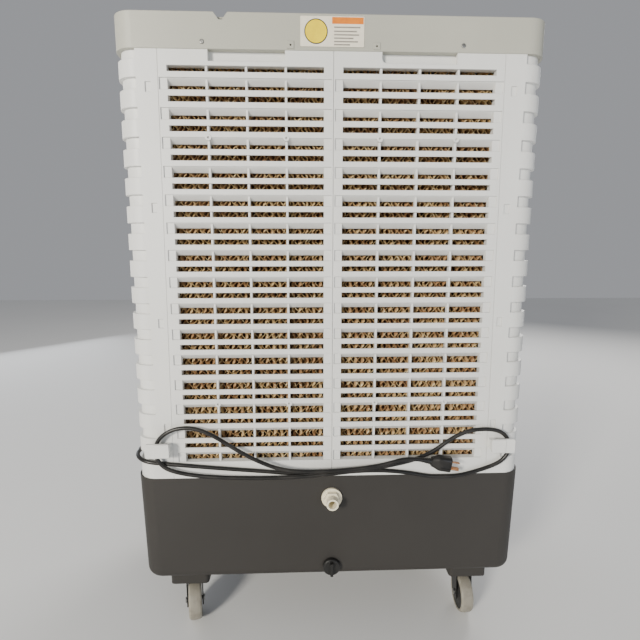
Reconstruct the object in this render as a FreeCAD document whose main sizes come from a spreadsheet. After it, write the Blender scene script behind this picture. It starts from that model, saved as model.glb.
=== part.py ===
"""Evaporative cooler on casters, modelled as its separate pieces. FreeCAD 1.1 macro, millimetres.

The origin is on the floor under the middle of the cabinet. +Z is up, the air comes in through the two
rear grilles (facing -Y) and leaves through the louvres in front (facing +Y). +X is the right-hand side
as seen from behind. Every size is an alias of the spreadsheet "Sizes", and every feature is bound to it.
"""

import FreeCAD
import Part
import Sketcher

import math
import os
import re

from FreeCAD import Placement, Rotation, Vector

doc = FreeCAD.newDocument("EvaporativeCooler")

# ---------------------------------------------------------------- driving dimensions

SIZES = {
    # cabinet
    "back": -240,                # back face, Y
    "face": 245,                 # front face of the front frame, Y
    "joint": 205,                # the side shells end here and the front frame begins, Y
    "half_top": 387,             # half width under the cap
    "half_low": 392,             # half width on the tank
    "corner": 38,                # radius of the upright corners
    "wall": 3,                   # moulded wall
    "cap_low": 1168.5,
    "cap_high": 1228,
    "lip": 14,                   # ledge under the cap that meets the shells
    "cap_half": 388.5,
    "rim": 8,
    "rim_height": 4,
    "tank_low": 140,
    "tank_high": 367,
    "tank_half_low": 391,
    "tank_half_high": 396,
    "tank_edge": 18,             # radius under the tank
    "groove": 6,                 # depth of the corner grooves
    "groove_from": 347,          # the grooves start here, X, and run round the corners
    "groove_end": 150,           # and stop here on the sides, Y
    # rear grilles
    "pitch": 50,                 # row pitch
    "rows": 15,
    "tall": 20,                  # height of a tall slot
    "short": 10,                 # height of a short slot
    "first_top": 1122,           # top edge of the first tall slot
    "slot_in": 17,               # slots start here, X
    "slot_out": 293,             # and end here
    "column": 70,                # pitch of the upright ribs
    "rib": 4,
    "rib_depth": 15,
    "skin": 3,
    "seam": 0.3,                 # half the gap between the two panels
    "panel_top": 308,            # outer edge of a panel at the cap
    "panel_low": 318,            # outer edge of a panel at the tank
    "grip_in": 86,               # finger recess under the cap, X
    "grip_out": 221,
    "grip_low": 1149.5,
    "grip_depth": 12,
    "grip_corner": 9,            # its rounded inner corner
    "hook_z": 435,
    # air path
    "duct_half": 270,            # outlet opening, half width
    "duct_low": 580,
    "duct_high": 1020,
    "duct_back": 130,
    "fan_z": 800,
    "fan_y": 95,
    "ring_radius": 226,
    "tip_radius": 217,
    "shroud_y": 60,
    "louvre_y": 212,
    "louvre_chord": 60,
    "louvre_step": 88,
    "louvre_crank": 20,          # crank pin to pivot
    "vane_y": 155,
    "vane_chord": 44,
    "vane_step": 108,
    "vane_crank": 14,
    "pivot": 3,                  # pivot pin radius
    "crank_pin": 2,
    "running": 0.05,             # radial clearance of a pin in its bore
    # fittings
    "inlet_z": 320,
    "drain_z": 165,
    "knob_z": 1100,
    "knob_step": 150,
    "knob_radius": 25,
    "door_x": 170,
    "door_z": 235,
    "door_half": 70,
    "door_tall": 70,
    "pump_x": 320,
    "pump_y": -110,
    "trough_half": 285,
    # casters
    "caster_x": 307,
    "caster_y": 163,
    "trail": 14,                 # from the swivel axis to the wheel axis
    "wheel_radius": 42,
    "wheel_width": 28,
    "bracket_half": 41,
    "bracket_low": 101,
    "stem": 6,
    "axle": 4,
    # cord
    "cord": 4,                   # cord radius
}

sheet = doc.addObject("Spreadsheet::Sheet", "Sizes")
for line, (alias, amount) in enumerate(SIZES.items(), start=1):
    sheet.set(f"A{line}", alias)
    sheet.set(f"B{line}", str(amount))
    sheet.setAlias(f"B{line}", alias)
doc.recompute()

NODES = []                       # the finished sub-parts, in the order they are made


# ---------------------------------------------------------------- helpers

def formula(text):
    """A size as an expression: each alias gets the sheet's name in front."""
    return re.sub(r"[a-z_]+", lambda m: "Sizes." + m.group() if m.group() in SIZES else m.group(), str(text))


def value(text):
    """A size as a plain number."""
    return float(sheet.evalExpression(formula(text)))


def place(thing, x=0, y=0, z=0):
    """Bind a piece's position to the sheet."""
    for axis, text in zip("xyz", (x, y, z)):
        thing.setExpression(f"Placement.Base.{axis}", formula(text))
    return thing


def block(x, y, z):
    """A box between two limits along each axis."""
    box = doc.addObject("Part::Box", "Block")
    for side, (low, high) in zip(("Length", "Width", "Height"), (x, y, z)):
        box.setExpression(side, formula(f"({high}) - ({low})"))
    return place(box, x[0], y[0], z[0])


TURNS = {"x": Rotation(Vector(0, 1, 0), 90), "y": Rotation(Vector(1, 0, 0), -90), "z": Rotation()}


def rod(axis, at, radius, reach):
    """A cylinder from a point along +X, +Y or +Z."""
    cylinder = doc.addObject("Part::Cylinder", "Rod")
    cylinder.Placement = Placement(Vector(), TURNS[axis])
    cylinder.setExpression("Radius", formula(radius))
    cylinder.setExpression("Height", formula(reach))
    return place(cylinder, *at)


def hexagon(axis, at, across, reach):
    """A hexagonal prism, its size given from corner to corner."""
    prism = doc.addObject("Part::Prism", "Hexagon")
    prism.Polygon = 6
    prism.Placement = Placement(Vector(), TURNS[axis])
    prism.setExpression("Circumradius", formula(f"({across}) / 2"))
    prism.setExpression("Height", formula(reach))
    return place(prism, *at)


def ball(at, radius):
    sphere = doc.addObject("Part::Sphere", "Ball")
    sphere.setExpression("Radius", formula(radius))
    return place(sphere, *at)


def joined(*pieces):
    fuse = doc.addObject("Part::MultiFuse", "Joined")
    fuse.Shapes = list(pieces)
    return fuse


def shared(*pieces):
    common = doc.addObject("Part::MultiCommon", "Shared")
    common.Shapes = list(pieces)
    return common


def carved(base, *tools):
    cut = doc.addObject("Part::Cut", "Carved")
    cut.Base = base
    cut.Tool = tools[0] if len(tools) == 1 else joined(*tools)
    return cut


def grouped(*pieces):
    """Identical loose pieces kept in one node, as separate solids."""
    group = doc.addObject("Part::Compound", "Group")
    group.Links = list(pieces)
    return group


def node(label, thing):
    """Name a finished sub-part."""
    thing.Label = label
    NODES.append(thing)
    return thing


def new_body():
    return doc.addObject("PartDesign::Body", "Body")


def origin_feature(body, role):
    return next(feature for feature in body.Origin.OriginFeatures if feature.Role == role)


def drawing(body, plane, height, *loops, turn=0):
    """A sketch parallel to an origin plane, at a height along its normal (XY up, XZ to -Y, YZ to +X).

    A loop is a list of corners, or (x, y, radius) for a circle. Every number is bound to the sheet.
    """
    sketch = body.newObject("Sketcher::SketchObject", "Sketch")
    sketch.AttachmentSupport = [(origin_feature(body, plane + "_Plane"), "")]
    sketch.MapMode = "FlatFace"
    sketch.AttachmentOffset = Placement(Vector(), Rotation(Vector(0, 0, 1), turn))
    sketch.setExpression("AttachmentOffset.Base.z", formula(height))
    for loop in loops:
        if isinstance(loop, tuple):
            draw_circle(sketch, *loop)
        else:
            draw_polygon(sketch, loop)
    return sketch


def pin_point(sketch, geometry, end, x, y):
    """Hold one point of a sketch at bound coordinates."""
    for kind, text in (("DistanceX", x), ("DistanceY", y)):
        index = sketch.addConstraint(Sketcher.Constraint(kind, -1, 1, geometry, end, value(text)))
        sketch.setExpression(f"Constraints[{index}]", formula(text))


def draw_circle(sketch, x, y, radius):
    circle = Part.Circle(Vector(value(x), value(y), 0), Vector(0, 0, 1), value(radius))
    index = sketch.addGeometry(circle, False)
    pin_point(sketch, index, 3, x, y)
    bound = sketch.addConstraint(Sketcher.Constraint("Radius", index, value(radius)))
    sketch.setExpression(f"Constraints[{bound}]", formula(radius))


def draw_polygon(sketch, corners):
    spots = [Vector(value(x), value(y), 0) for x, y in corners]
    first = sketch.GeometryCount
    for index, spot in enumerate(spots):
        sketch.addGeometry(Part.LineSegment(spot, spots[(index + 1) % len(spots)]), False)
    for index in range(len(spots)):
        after = first + (index + 1) % len(spots)
        sketch.addConstraint(Sketcher.Constraint("Coincident", first + index, 2, after, 1))
    for index, (x, y) in enumerate(corners):
        pin_point(sketch, first + index, 1, x, y)


def rectangle(x, y):
    return [(x[0], y[0]), (x[1], y[0]), (x[1], y[1]), (x[0], y[1])]


def feature(body, kind, sketch, length, middle=False):
    made = body.newObject("PartDesign::" + kind, kind)
    made.Profile = sketch
    made.SideType = "Symmetric" if middle else "One side"
    made.setExpression("Length", formula(length))
    return made


def pad(body, sketch, length, middle=False):
    return feature(body, "Pad", sketch, length, middle)


def pocket(body, sketch, length):
    """A pocket to both sides of its sketch, over a total length."""
    return feature(body, "Pocket", sketch, length, middle=True)


def revolve(body, sketch, axis, kind="Revolution"):
    made = body.newObject("PartDesign::" + kind, kind)
    made.Profile = sketch
    made.ReferenceAxis = (origin_feature(body, axis + "_Axis"), [""])
    made.Angle = 360
    return made


def repeat(body, original, axis, reach, count, backwards=False):
    """A straight row of one feature, over a total reach."""
    row = body.newObject("PartDesign::LinearPattern", "Row")
    row.Originals = [original]
    row.Direction = (origin_feature(body, axis + "_Axis"), [""])
    row.Reversed = backwards
    row.setExpression("Length", formula(reach))
    row.setExpression("Occurrences", formula(count))
    body.Tip = row
    return row


def repeat_round(body, original, axis, count):
    ring = body.newObject("PartDesign::PolarPattern", "Ring")
    ring.Originals = [original]
    ring.Axis = (origin_feature(body, axis + "_Axis"), [""])
    ring.Angle = 360
    ring.Occurrences = count
    body.Tip = ring
    return ring


def round_edges(body, radius, wanted):
    """A fillet on the edges of the tip that a test picks out."""
    doc.recompute()
    tip = body.Tip
    names = [f"Edge{i}" for i, edge in enumerate(tip.Shape.Edges, start=1) if wanted(edge)]
    fillet = body.newObject("PartDesign::Fillet", "Round")
    fillet.Base = (tip, names)
    fillet.setExpression("Radius", formula(radius))
    return fillet


def runs_along(axis):
    """An edge test: straight and mostly along one axis."""
    direction = {"x": Vector(1, 0, 0), "y": Vector(0, 1, 0), "z": Vector(0, 0, 1)}[axis]

    def test(edge):
        span = edge.Vertexes[-1].Point - edge.Vertexes[0].Point
        return span.Length > 0 and abs(span.dot(direction)) > 0.9 * edge.Length
    return test


def soft_block(x, y, z, radius, along="y"):
    """A box with the four edges along one axis rounded."""
    body = new_body()
    sketch = drawing(body, "XY", z[0], rectangle(x, y))
    pad(body, sketch, f"({z[1]}) - ({z[0]})")
    round_edges(body, radius, runs_along(along))
    return body


def cabinet(low, high, half_low, half_high, y_back, y_front, radius):
    """A block that is wider at one end, with rounded upright corners."""
    body = new_body()
    corners = [(f"-({half_low})", low), (half_low, low), (half_high, high), (f"-({half_high})", high)]
    sketch = drawing(body, "XZ", f"-({y_front})", corners)
    pad(body, sketch, f"({y_front}) - ({y_back})")
    round_edges(body, radius, runs_along("z"))
    return body


def route(points, share=0.45):
    """Straight runs joined by tangent arcs, each as large as its two runs allow. Prints the radii."""
    spots = [Vector(*point) for point in points]
    edges = []
    radii = []
    start = spots[0]
    for before, here, after in zip(spots, spots[1:], spots[2:]):
        come = (here - before).normalize()
        leave = (after - here).normalize()
        half_turn = come.getAngle(leave) / 2
        set_back = share * min((here - before).Length, (after - here).Length)
        radius = set_back / math.tan(half_turn)
        radii.append(round(radius))
        first = here - come * set_back
        last = here + leave * set_back
        middle = here + (leave - come).normalize() * (radius / math.cos(half_turn) - radius)
        edges.append(Part.LineSegment(start, first).toShape())
        edges.append(Part.Arc(first, middle, last).toShape())
        start = last
    edges.append(Part.LineSegment(start, spots[-1]).toShape())
    print("bend radii", radii)
    return Part.Wire(edges)


def tube(points, radius):
    """A round tube swept along a route, with its volume checked against its length."""
    wire = route(points)
    heading = Vector(*points[1]) - Vector(*points[0])
    disc = Part.Wire(Part.Circle(Vector(*points[0]), heading, radius).toShape())
    swept = doc.addObject("Part::Feature", "Tube")
    swept.Shape = wire.makePipeShell([disc], True, False)
    expected = math.pi * radius ** 2 * wire.Length
    print("length", round(wire.Length), "volume ratio", round(swept.Shape.Volume / expected, 4))
    return swept


# ---------------------------------------------------------------- tank

def water_tank():
    outer = cabinet("tank_low", "tank_high", "tank_half_low", "tank_half_high", "back", "-back", "corner")
    round_edges(outer, "tank_edge", lambda edge: edge.BoundBox.ZMax < value("tank_low") + 1)
    inner = cabinet("tank_low + wall", "tank_high + wall", "tank_half_low - wall",
                    "tank_half_high - wall", "back + wall", "-back - wall", "corner - wall")
    round_edges(inner, "tank_edge - wall", lambda edge: edge.BoundBox.ZMax < value("tank_low + wall") + 1)
    shell = carved(outer, inner)
    door = ("door_x - door_half", "door_x + door_half")
    lugs = [block((f"door_x + {side} * (door_half + 3.5) - 3", f"door_x + {side} * (door_half + 3.5) + 3"),
                  ("-back - 12", "-back - wall"), ("door_z - 4", "door_z + 14")) for side in (-1, 1)]
    holes = [
        rod("y", (0, "back - 1", "inlet_z"), 12.5, "wall + 2"),
        rod("y", (0, "back - 1", "drain_z"), "10 + running", "wall + 2"),
        block(door, ("-back - 5", "-back + 1"), ("door_z", "door_z + door_tall")),
        rod("x", ("door_x - door_half - 8", "-back - 4", "door_z + 5"), "2.5 + running",
            "2 * door_half + 16"),
        block((-300, -284), ("-back - 5", "-back + 1"), (180, 340)),
    ]
    return node("water_tank", carved(joined(shell, *lugs), *holes))


def drain_plug():
    body = new_body()
    profile = [(0, -14), ("10 - running", -14), ("10 - running", 0), (18, 0), (18, 8), (16, 10), (0, 10)]
    revolve(body, drawing(body, "XY", 0, profile), "Y")
    grip = drawing(body, "XZ", -18, rectangle((-3, 3), (-14, 14)))
    pad(body, grip, 9)
    body.Placement = Placement(Vector(), Rotation(Vector(0, 0, 1), 180))
    return node("drain_plug", place(body, 0, "back", "drain_z"))


def level_window():
    return node("level_window", block((-300, -284), ("-back - wall", "-back"), (180, 340)))


def fill_door():
    plate = block(("door_x - door_half + 1", "door_x + door_half - 1"), ("-back - 3", "-back"),
                  ("door_z + 4", "door_z + door_tall - 1"))
    barrel = rod("x", ("door_x - door_half + 1", "-back - 4", "door_z + 5"), 4, "2 * door_half - 2")
    pin = rod("x", ("door_x - door_half - 6", "-back - 4", "door_z + 5"), 2.5, "2 * door_half + 12")
    lip = block(("door_x - 20", "door_x + 20"), ("-back", "-back + 5"),
                ("door_z + door_tall - 12", "door_z + door_tall - 8"))
    return node("fill_door", joined(plate, barrel, pin, lip))


# ---------------------------------------------------------------- shells, frame and cap

def groove_slabs(rows, grow):
    """Flat slabs at the heights of the corner grooves, clear of the middle of the back."""
    slabs = []
    for row in rows:
        top = f"first_top - {row} * pitch + {grow}"
        slabs.append(block((-400, 400), (-250, f"groove_end + {grow}"), (f"{top} - tall - 2 * {grow}", top)))
    middle = block((f"-groove_from + {grow}", f"groove_from - {grow}"), (-251, 201), (300, 1300))
    return carved(joined(*slabs), middle)


def side_shells():
    z = ("tank_high", "cap_low")
    outer = cabinet(*z, "half_low", "half_top", "back", "face", "corner")

    def inset(depth):
        return cabinet("tank_high - 1", "cap_low + 1", f"half_low - {depth}", f"half_top - {depth}",
                       f"back + {depth}", f"face - {depth}", f"corner - {depth}")

    rows = range(-1, 15)
    ring = carved(outer, inset("wall"))
    backing = shared(carved(outer, inset("(groove + wall)")), groove_slabs(rows, "wall"))
    grooves = shared(carved(outer, inset("groove")), groove_slabs(rows, "0"))
    opening = new_body()
    corners = [("-panel_low - seam", "tank_high - 1"), ("panel_low + seam", "tank_high - 1"),
               ("panel_top + seam", "cap_low + 1"), ("-panel_top - seam", "cap_low + 1")]
    pad(opening, drawing(opening, "XZ", "-back - 30", corners), 40)
    front = block((-400, 400), ("joint", "face + 1"), (300, 1300))
    windows = [block((f"{side} * 327 - 5", f"{side} * 327 + 5"), ("back - 1", "back + wall - 0.8"),
                     (f"first_top - {row} * pitch - 17", f"first_top - {row} * pitch"))
               for side in (-1, 1) for row in (0.15, 4.3, 8.6, 12.8)]
    both = carved(joined(ring, backing), grooves, opening, front, *windows)
    node("side_shell_left", shared(both, block((-400, 0), (-260, 260), (300, 1300))))
    node("side_shell_right", shared(both, block((0, 400), (-260, 260), (300, 1300))))


def louvre_heights():
    return [f"fan_z + {step} * louvre_step" for step in (-2, -1, 0, 1, 2)]


def vane_places():
    return [f"{step} * vane_step" for step in (-2, -1, 0, 1, 2)]


def knob_places():
    return [f"{step} * knob_step" for step in (-1, 0, 1)]


def front_frame():
    outer = cabinet("tank_high", "cap_low", "half_low", "half_top", "back", "face", "corner")
    inner = cabinet("tank_high - 1", "cap_low + 1", "half_low - wall", "half_top - wall",
                    "back + wall", "face - wall", "corner - wall")
    behind = block((-400, 400), (-260, "joint"), (300, 1300))
    duct = block(("-duct_half - wall", "duct_half + wall"), ("duct_back", "face - 1"),
                 ("duct_low - wall", "duct_high + wall"))
    outlet = block(("-duct_half", "duct_half"), ("duct_back - 1", "face + 1"), ("duct_low", "duct_high"))
    pivots = [rod("x", ("-duct_half - wall - 1", "louvre_y", z), "pivot + running",
                  "2 * (duct_half + wall + 1)") for z in louvre_heights()]
    pivots += [rod("z", (x, "vane_y", "duct_low - wall - 1"), "pivot + running",
                   "duct_high - duct_low + 2 * (wall + 1)") for x in vane_places()]
    stems = [rod("y", (x, "face - wall - 1", "knob_z"), 5, "wall + 2") for x in knob_places()]
    tray = carved(outer, inner, behind)
    return node("front_frame", carved(joined(tray, duct), outlet, *pivots, *stems))


def control_panel():
    plate = soft_block((-225, 225), ("face", "face + 4"), ("knob_z - 45", "knob_z + 45"), 10)
    holes = [rod("y", (x, "face - 1", "knob_z"), 5, 6) for x in knob_places()]
    return node("control_panel", carved(plate, *holes))


def top_cap():
    outer = cabinet("cap_low", "cap_high", "cap_half", "cap_half", "back - 1", "face + 1", "corner")
    inner = cabinet("cap_low - 1", "cap_high - rim_height - wall", "cap_half - wall", "cap_half - wall",
                    "back - 1 + wall", "face + 1 - wall", "corner - wall")
    dish = cabinet("cap_high - rim_height", "cap_high + 1", "cap_half - rim", "cap_half - rim",
                   "back - 1 + rim", "face + 1 - rim", "corner - rim")
    lip = carved(cabinet("cap_low", "cap_low + 2", "cap_half", "cap_half", "back - 1", "face + 1", "corner"),
                 cabinet("cap_low - 1", "cap_low + 3", "cap_half - lip", "cap_half - lip",
                         "back - 1 + lip", "face + 1 - lip", "corner - lip"))
    notch = new_body()
    corners = [(-210, "cap_high + 1"), (-200, "cap_high - 12"), (-194, "cap_high - 12"),
               (-184, "cap_high + 1")]
    pad(notch, drawing(notch, "XZ", "-back - 9", corners), 20)
    tabs = [block((f"{x} - 6", f"{x} + 6"), ("back - 1.8", "back"), (1171, 1183)) for x in (-76, 76)]
    holes = [rod("y", (x, "back - 3", 1177), 1.6, 8) for x in (-76, 76)]
    holes += [rod("y", (x, "back - 3", 1180), 2.2, 8) for x in (-230, 230)]
    return node("top_cap", carved(joined(carved(outer, inner, dish), lip, *tabs), notch, *holes))


# ---------------------------------------------------------------- rear grilles and pads

def rear_grille(label, side):
    """One half of the rear grille: a skin with slots, ribs behind it and a sloping blade in each row."""
    body = new_body()

    def span(low, high):
        ends = (f"{side} * ({low})", f"{side} * ({high})")
        return ends if side > 0 else ends[::-1]

    edge = [(f"{side} * seam", "tank_high"), (f"{side} * panel_low", "tank_high"),
            (f"{side} * panel_top", "cap_low"), (f"{side} * seam", "cap_low")]
    pad(body, drawing(body, "XZ", "-back - skin", edge), "skin")
    last_low = "first_top - (rows - 1) * pitch - tall"
    window_top = "first_top + short + 10"
    ribs = [rectangle(span(f"slot_in - rib + {k} * column", f"slot_in + {k} * column"),
                      (f"{last_low} - rib", f"{window_top} + rib")) for k in range(4)]
    ribs.append(rectangle(span("slot_out", "slot_out + rib"), (f"{last_low} - rib", f"{window_top} + rib")))
    pad(body, drawing(body, "XZ", "-back - rib_depth", *ribs), "rib_depth - skin")
    bars = [rectangle(span("slot_in - 1", "slot_out + 1"), (f"{last_low} - rib", last_low)),
            rectangle(span("slot_in - 1", "slot_out + 1"), (window_top, f"{window_top} + rib"))]
    pad(body, drawing(body, "XZ", "-back - rib_depth", *bars), "rib_depth - skin")
    tray = rectangle(span("grip_in - 3", "grip_out + 3"), ("grip_low - 3", "cap_low"))
    pad(body, drawing(body, "XZ", "-back - rib_depth", tray), "rib_depth - skin")
    hollow = rectangle(span("grip_in + grip_corner", "grip_out"), ("grip_low", "cap_low + 1"))
    pocket(body, drawing(body, "XZ", "-back", hollow), "2 * grip_depth")
    end = rectangle(span("grip_in", "grip_in + grip_corner + 1"), ("grip_low + grip_corner", "cap_low + 1"))
    pocket(body, drawing(body, "XZ", "-back", end), "2 * grip_depth")
    corner = (f"{side} * (grip_in + grip_corner)", "grip_low + grip_corner", "grip_corner")
    pocket(body, drawing(body, "XZ", "-back", corner), "2 * grip_depth")
    tall = rectangle(span("slot_in", "slot_out"), ("first_top - tall", "first_top"))
    short = rectangle(span("slot_in", "slot_out"), ("first_top + 10", "first_top + 10 + short"))
    ends = [rectangle(span("slot_in - 14", "slot_in"), ("first_top - tall", "first_top")),
            rectangle(span("slot_out", "slot_out + 14"), ("first_top - tall", "first_top"))]
    for loops, depth in (([short], "skin"), ([tall], "skin + 1"), (ends, 2.2)):
        cut = pocket(body, drawing(body, "XZ", "-back", *loops), f"2 * ({depth})")
        repeat(body, cut, "Z", "(rows - 1) * pitch", "rows", True)
    blade = [("back + 2", "first_top + 0.6"), ("back + 14", "first_top - 8.5"),
             ("back + 14", "first_top - 10.1"), ("back + 2", "first_top - 1")]
    slope = drawing(body, "YZ", span("slot_in - 1", "slot_out + 1")[0], blade)
    repeat(body, pad(body, slope, "slot_out - slot_in + 2"), "Z", "(rows - 1) * pitch", "rows", True)
    bosses = [(f"{side} * (slot_in - rib / 2 + {k} * column)", f"first_top - {row} * pitch", 5.5)
              for k in (1, 3) for row in (2, 12)]
    pad(body, drawing(body, "XZ", "-back - rib_depth", *bosses), "rib_depth + 0.6")
    dimples = [(x, z, 2) for x, z, _ in bosses]
    pocket(body, drawing(body, "XZ", "-back", *dimples), 6)
    return node(label, body)


def cooling_pads():
    for label, ends in (("pad_left", (-303, -6)), ("pad_right", (6, 303))):
        node(label, block(ends, (-222, -162), ("tank_high + 1", 1147)))


def water_trough():
    body = new_body()
    sides = rectangle(("-trough_half", "trough_half"), (-224, -158))
    pad(body, drawing(body, "XY", 1148, sides), 18)
    channel = rectangle(("-trough_half + 2", "trough_half - 2"), (-222, -160))
    pocket(body, drawing(body, "XY", 1166, channel), 32)
    drip = pocket(body, drawing(body, "XY", 1149, ("-trough_half + 15", -192, 2)), 6)
    repeat(body, drip, "X", "2 * trough_half - 30", 19)
    return node("water_trough", body)


# ---------------------------------------------------------------- water circuit

def supply_hose():
    x, y = value("pump_x"), value("pump_y")
    points = [(x, y, 262), (x, y, 1157), (x, -192, 1157), (value("trough_half"), -192, 1157)]
    return node("supply_hose", tube(points, 6))


def pump():
    body = new_body()
    pad(body, drawing(body, "XY", "tank_low + wall", (0, 0, 38)), 84)
    pad(body, drawing(body, "XY", "tank_low + wall + 84", (0, 0, 26)), 20)
    pad(body, drawing(body, "XY", "tank_low + wall + 104", (0, 0, 6)), "262 - tank_low - wall - 104")
    slot = drawing(body, "YZ", 37, rectangle((-4, 4), ("tank_low + wall + 6", "tank_low + wall + 30")))
    repeat_round(body, pocket(body, slot, 6), "Z", 12)
    return node("pump", place(body, "pump_x", "pump_y", 0))


def inlet_spigot():
    flange = rod("y", (0, "back - 5", "inlet_z"), 21, 5)
    collar = hexagon("y", (0, "back - 14", "inlet_z"), 34, 9)
    nose = rod("y", (0, "back - 31", "inlet_z"), 12, "31 + 14")
    bore = rod("y", (0, "back - 32", "inlet_z"), 8.5, "33 + 14")
    return node("inlet_spigot", carved(joined(flange, collar, nose), bore))


def float_valve():
    nut = hexagon("y", (0, "back + wall", "inlet_z"), 40, 8)
    valve = rod("y", (0, "back + wall + 8", "inlet_z"), 15, 30)
    ears = block((-8, 8), ("back + wall + 38", "back + wall + 54"), ("inlet_z - 12", "inlet_z + 6"))
    gap = block((-4, 4), ("back + wall + 38", "back + wall + 55"), ("inlet_z - 13", "inlet_z + 7"))
    socket = rod("y", (0, "back + wall - 1", "inlet_z"), "12 + running", 18)
    pin = rod("x", (-10, "back + 50", "inlet_z - 4"), "2.5 + running", 20)
    return node("float_valve", carved(joined(nut, valve, ears), gap, socket, pin))


def float_arm():
    """The arm hangs from its pin, with its ball float at the far end."""
    droop = math.radians(50)
    arm = rod("z", (0, 0, 0), 2.5, 110)
    arm.Placement = Placement(Vector(), Rotation(Vector(1, 0, 0), -90 - math.degrees(droop)))
    arm.setExpression("Placement.Base.z", None)
    place(arm, 0, "back + 50", "inlet_z - 4")
    pin = rod("x", (-9, "back + 50", "inlet_z - 4"), 2.5, 18)
    hub = rod("x", (-3.5, "back + 50", "inlet_z - 4"), 5, 7)
    reach = (110 * math.cos(droop), 110 * math.sin(droop))
    float_ball = ball((0, f"back + 50 + {reach[0]:.3f}", f"inlet_z - 4 - {reach[1]:.3f}"), 28)
    return node("float_arm", joined(arm, pin, hub, float_ball))


# ---------------------------------------------------------------- fan

def fan_shroud():
    plate = block((-370, 370), ("shroud_y", "shroud_y + wall"), (372, 1160))
    ring = rod("y", (0, "shroud_y", "fan_z"), "ring_radius + wall", 62)
    bore = rod("y", (0, "shroud_y - 1", "fan_z"), "ring_radius", 70)
    return node("fan_shroud", carved(joined(plate, ring), bore))


def fan_motor():
    body = new_body()
    profile = [(6.05, -45), (46, -45), (60, -32), (60, 30), (46, 45), (16, 45), (14, 52), (6.05, 52)]
    revolve(body, drawing(body, "XY", 0, profile), "Y")
    fin = drawing(body, "XY", 0, rectangle((57, 64), (-28, 26)))
    repeat_round(body, pad(body, fin, 3, middle=True), "Y", 24)
    return node("fan_motor", place(body, 0, 0, "fan_z"))


def motor_bracket():
    body = new_body()
    strap = [(-262, "shroud_y"), (-262, -49), (262, -49), (262, "shroud_y"),
             (258, "shroud_y"), (258, -45), (-258, -45), (-258, "shroud_y")]
    pad(body, drawing(body, "XY", "fan_z - 30", strap), 60)
    pocket(body, drawing(body, "XZ", 47, (0, "fan_z", 10)), 10)
    return node("motor_bracket", body)


def fan_rotor():
    """Five twisted blades on a hub: each blade is a loft from a steep root to a flatter tip."""
    body = new_body()
    hub = drawing(body, "XZ", -24, (0, 0, 50), (0, 0, 6))
    pad(body, hub, 48)
    root = drawing(body, "YZ", 44, rectangle((-34, 34), (-1.6, 1.6)), turn=38)
    tip = drawing(body, "YZ", "tip_radius - 3", rectangle((-48, 48), (-1.2, 1.2)), turn=66)
    blade = body.newObject("PartDesign::AdditiveLoft", "Blade")
    blade.Profile = root
    blade.Sections = [tip]
    blade.Ruled = True
    repeat_round(body, blade, "Y", 5)
    return node("fan_rotor", place(body, 0, "fan_y", "fan_z"))


def fan_shaft():
    shaft = rod("y", (0, -44, "fan_z"), 6, "fan_y + 24 + 44")
    nut = hexagon("y", (0, "fan_y + 24", "fan_z"), 22, 7)
    return node("fan_shaft", joined(shaft, nut))


# ---------------------------------------------------------------- louvres and vanes

def louvre(label, height):
    """A horizontal blade on its pivot, slotted for the link, with the crank pin across the slot."""
    body = new_body()
    half = "louvre_chord / 2"
    profile = rectangle((f"-{half}", half), (-1.5, 1.5))
    pad(body, drawing(body, "YZ", 0, profile), "2 * (duct_half - 3)", middle=True)
    round_edges(body, 1.4, runs_along("x"))
    slot = rectangle((-258, -246), ("-louvre_crank - 9", "-louvre_crank + 9"))
    pocket(body, drawing(body, "XY", 0, slot), 10)
    pad(body, drawing(body, "YZ", 0, (0, 0, "pivot")), "2 * (duct_half + wall - 0.5)", middle=True)
    pad(body, drawing(body, "YZ", -252, ("-louvre_crank", 0, "crank_pin")), 14, middle=True)
    return node(label, place(body, 0, "louvre_y", height))


def louvre_link():
    bar = block((-254, -250), ("louvre_y - louvre_crank - 4", "louvre_y - louvre_crank + 4"),
                ("fan_z - 2 * louvre_step - 10", "fan_z + 2 * louvre_step + 10"))
    holes = [rod("x", (-255, "louvre_y - louvre_crank", z), "crank_pin + running", 6)
             for z in louvre_heights()]
    return node("louvre_link", carved(bar, *holes))


def vane(label, across, driven):
    """An upright vane; the driven one has a longer lower pivot, held by the swing motor."""
    body = new_body()
    half = "vane_chord / 2"
    tall = "(duct_high - duct_low)"
    pad(body, drawing(body, "XY", 0, rectangle((-1.5, 1.5), (f"-{half}", half))), f"{tall} - 6", middle=True)
    round_edges(body, 1.4, runs_along("z"))
    slot = rectangle(("-vane_crank - 7", "-vane_crank + 7"), (194, 206))
    pocket(body, drawing(body, "YZ", 0, slot), 10)
    pad(body, drawing(body, "XY", 0, (0, 0, "pivot")), f"{tall} + 2 * wall - 1", middle=True)
    if driven:
        pad(body, drawing(body, "XY", f"-{tall} / 2 - 12", (0, 0, "pivot")), 20)
    pad(body, drawing(body, "XY", 200, (0, "-vane_crank", "crank_pin")), 14, middle=True)
    return node(label, place(body, across, "vane_y", "(duct_low + duct_high) / 2"))


def vane_link():
    bar = block(("-2 * vane_step - 10", "2 * vane_step + 10"),
                ("vane_y - vane_crank - 4", "vane_y - vane_crank + 4"), ("fan_z + 198", "fan_z + 202"))
    holes = [rod("z", (x, "vane_y - vane_crank", "fan_z + 197"), "crank_pin + running", 6)
             for x in vane_places()]
    return node("vane_link", carved(bar, *holes))


def swing_motor():
    case = rod("z", (0, "vane_y", "duct_low - wall - 20"), 22, 20)
    ears = block((-32, 32), ("vane_y - 5", "vane_y + 5"), ("duct_low - wall - 4", "duct_low - wall"))
    bore = rod("z", (0, "vane_y", "duct_low - wall - 14"), "pivot + running", 20)
    return node("swing_motor", carved(joined(case, ears), bore))


# ---------------------------------------------------------------- controls

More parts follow.
